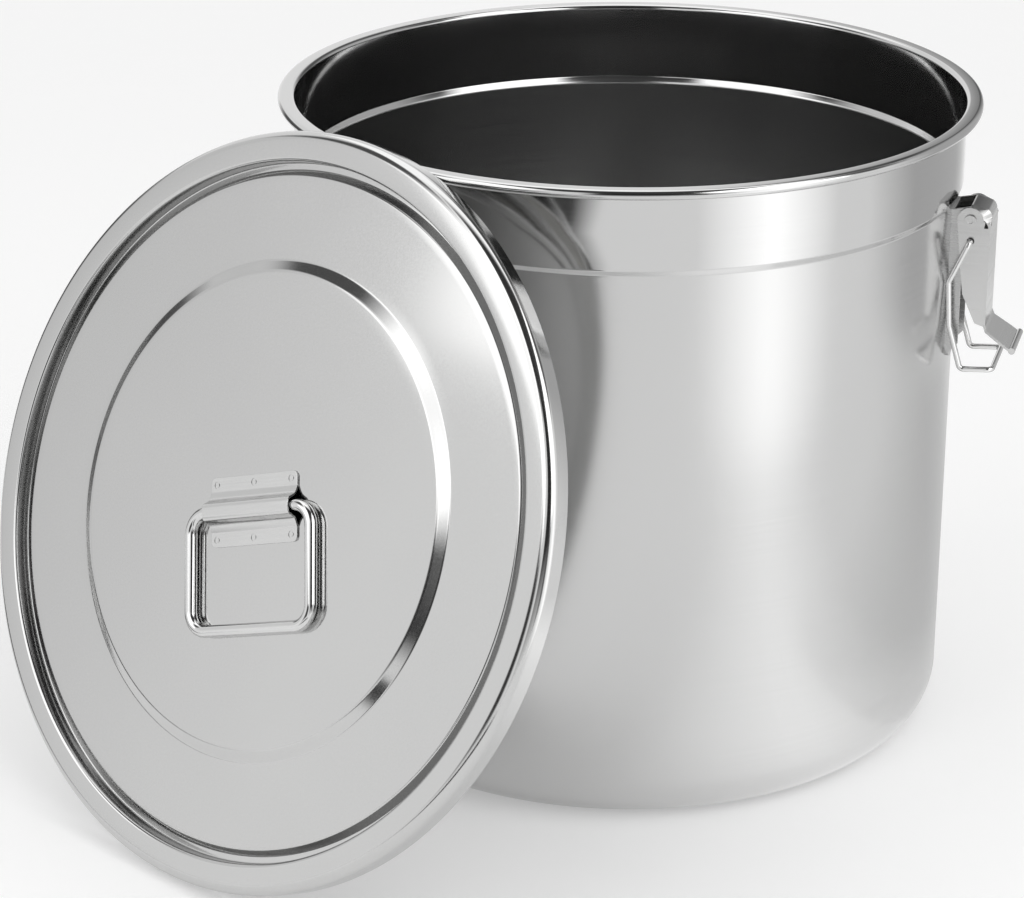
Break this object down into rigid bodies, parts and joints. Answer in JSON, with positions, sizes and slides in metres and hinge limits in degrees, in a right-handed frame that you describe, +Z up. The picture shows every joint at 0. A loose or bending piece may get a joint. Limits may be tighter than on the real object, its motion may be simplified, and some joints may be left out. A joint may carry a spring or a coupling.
{
  "type": "rice bin",
  "caption": "Round sheet-steel food bin with a curled rim, a lift-off lid with a drop handle, and wire toggle latches; the lid leans on the rim.",
  "frame": {"origin": "centre of the bin's flat bottom, on the floor it stands on", "axes": "+Z up; +Y away from the picture's camera and +X to its right, so the lid leans at the front left (-X, -Y)"},
  "size_m": [0.5113, 0.4768, 0.3358],
  "materials": {
    "shell_steel": "polished stainless sheet",
    "lid_steel": "satin stainless sheet with bright bends",
    "fitting_steel": "bright pressed stainless sheet",
    "wire_steel": "polished stainless rod and wire",
    "seal": "clear silicone"
  },
  "bodies": {
    "bin": {"bin_shell": "shell_steel", "right_latch_base": "fitting_steel", "right_latch_rivet": "fitting_steel", "left_latch_base": "fitting_steel", "left_latch_rivet": "fitting_steel"},
    "handle": {"handle_bail": "wire_steel"},
    "lid": {"lid_pan": "lid_steel", "lid_seal": "seal", "handle_strap": "lid_steel"},
    "right_lever": {"right_latch_lever": "fitting_steel"},
    "right_wire": {"right_latch_wire": "wire_steel"},
    "left_lever": {"left_latch_lever": "fitting_steel"},
    "left_wire": {"left_latch_wire": "wire_steel"}
  },
  "joints": [
    {"name": "lid_carry", "type": "hinge", "parent": "bin", "child": "handle", "pos_m": [-0.12143, -0.12667, 0.3309], "axis": [-0.7217, 0.6919, 0.0189], "range_deg": [0, 245.5]},
    {"name": "handle_swing", "type": "hinge", "parent": "handle", "child": "lid", "pos_m": [-0.17397, -0.17712, 0.17125], "axis": [-0.7921, 0.5265, -0.3088], "range_deg": [-177, 0]},
    {"name": "right_lever_swing", "type": "hinge", "parent": "bin", "child": "right_lever", "pos_m": [0.16961, -0.04229, 0.277], "axis": [0.2419, 0.9703, 0], "range_deg": [-110, 0]},
    {"name": "right_wire_swing", "type": "hinge", "parent": "right_lever", "child": "right_wire", "pos_m": [0.17019, -0.04243, 0.2667], "axis": [-0.2419, -0.9703, 0], "range_deg": [0, 176]},
    {"name": "left_lever_swing", "type": "hinge", "parent": "bin", "child": "left_lever", "pos_m": [-0.16961, 0.04229, 0.277], "axis": [-0.2419, -0.9703, 0], "range_deg": [-110, 0]},
    {"name": "left_wire_swing", "type": "hinge", "parent": "left_lever", "child": "left_wire", "pos_m": [-0.17019, 0.04243, 0.2667], "axis": [0.2419, 0.9703, 0], "range_deg": [0, 176]}
  ],
  "couplings": [
    {"joint": "handle_swing", "follows": "lid_carry", "ratio": -0.72079}
  ]
}
